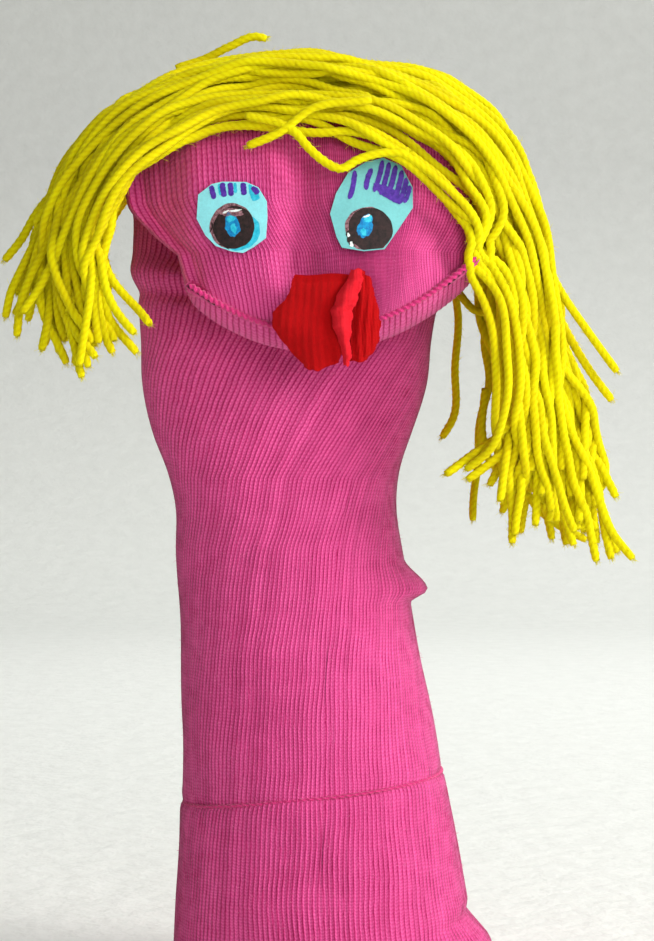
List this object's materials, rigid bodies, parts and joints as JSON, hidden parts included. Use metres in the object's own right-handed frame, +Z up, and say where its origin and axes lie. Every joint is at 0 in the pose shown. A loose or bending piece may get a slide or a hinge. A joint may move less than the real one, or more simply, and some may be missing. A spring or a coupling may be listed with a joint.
{
  "type": "sock puppet",
  "caption": "Knitted sock hand puppet with a folded-over head, card eyes, a crepe paper mouth and yarn hair, hinged at the wrist and the head.",
  "frame": {"origin": "centre of the arm opening, in the plane of the cuff's rim", "axes": "+Z up along the forearm, -Y out of the puppet's face, +X to the right of someone who looks at the face"},
  "size_m": [0.1779, 0.1001, 0.2789],
  "materials": {
    "sock_knit": "matte knit",
    "sock_thread": "matte thread",
    "eye_card": "matte card",
    "crepe_paper": "crepe paper",
    "clear_glue": "dried craft glue",
    "yellow_yarn": "matte yarn"
  },
  "bodies": {
    "sleeve": {"ribbed_cuff": "sock_knit", "cuff_hem_stitch": "sock_thread", "cuff_turned_edge": "sock_knit", "leg_tube": "sock_knit", "heel_pocket": "sock_knit", "lower_wrist_knit": "sock_knit"},
    "wrist": {"wrist_band": "sock_knit", "upper_wrist_knit": "sock_knit"},
    "palm": {"palm_tube": "sock_knit", "knuckle_knit": "sock_knit"},
    "face": {"crown_knit": "sock_knit", "face_pocket": "sock_knit", "toe_seam": "sock_thread", "left_eye_card": "eye_card", "left_eye_glue": "clear_glue", "right_eye_card": "eye_card", "right_eye_glue": "clear_glue", "mouth_paper_left": "crepe_paper", "mouth_paper_fold": "crepe_paper", "mouth_paper_right": "crepe_paper", "mouth_glue": "clear_glue", "forehead_strand": "yellow_yarn", "forehead_loop_strand": "yellow_yarn", "crown_tuft_strand": "yellow_yarn", "crown_hank_1": "yellow_yarn", "crown_hank_2": "yellow_yarn", "crown_hank_3": "yellow_yarn", "crown_hank_4": "yellow_yarn", "crown_hank_5": "yellow_yarn", "crown_hank_6": "yellow_yarn", "crown_hank_7": "yellow_yarn"},
    "left_hair": {"left_hank_1": "yellow_yarn", "left_hank_2": "yellow_yarn", "left_hank_3": "yellow_yarn", "left_hank_4": "yellow_yarn", "left_hank_5": "yellow_yarn", "left_hank_6": "yellow_yarn", "left_hank_7": "yellow_yarn", "left_long_strand": "yellow_yarn", "left_outer_strand": "yellow_yarn"},
    "right_hair": {"right_hank_1": "yellow_yarn", "right_hank_2": "yellow_yarn", "right_hank_3": "yellow_yarn", "right_hank_4": "yellow_yarn", "right_hank_5": "yellow_yarn", "right_hank_6": "yellow_yarn", "right_hank_7": "yellow_yarn", "right_stray_strand": "yellow_yarn", "right_long_strand": "yellow_yarn", "right_curved_strand": "yellow_yarn"}
  },
  "joints": [
    {"name": "wrist_tilt", "type": "hinge", "parent": "sleeve", "child": "wrist", "pos_m": [-0.011, 0, 0.1305], "axis": [0, 1, 0], "range_deg": [-20, 20], "deforming": ["lower_wrist_knit"]},
    {"name": "wrist_nod", "type": "hinge", "parent": "wrist", "child": "palm", "pos_m": [-0.012, 0, 0.15], "axis": [1, 0, 0], "range_deg": [-30, 40], "deforming": ["upper_wrist_knit"]},
    {"name": "face_lift", "type": "hinge", "parent": "palm", "child": "face", "pos_m": [-0.009, -0.004, 0.238], "axis": [-1, 0, 0], "range_deg": [0, 40], "deforming": ["knuckle_knit"]},
    {"name": "left_hair_swing", "type": "hinge", "parent": "face", "child": "left_hair", "pos_m": [-0.064, -0.028, 0.249], "axis": [0, 0.9333, 0.359], "range_deg": [0, 40]},
    {"name": "right_hair_swing", "type": "hinge", "parent": "face", "child": "right_hair", "pos_m": [0.0515, -0.028, 0.238], "axis": [0, -0.921, -0.3896], "range_deg": [0, 40]}
  ]
}
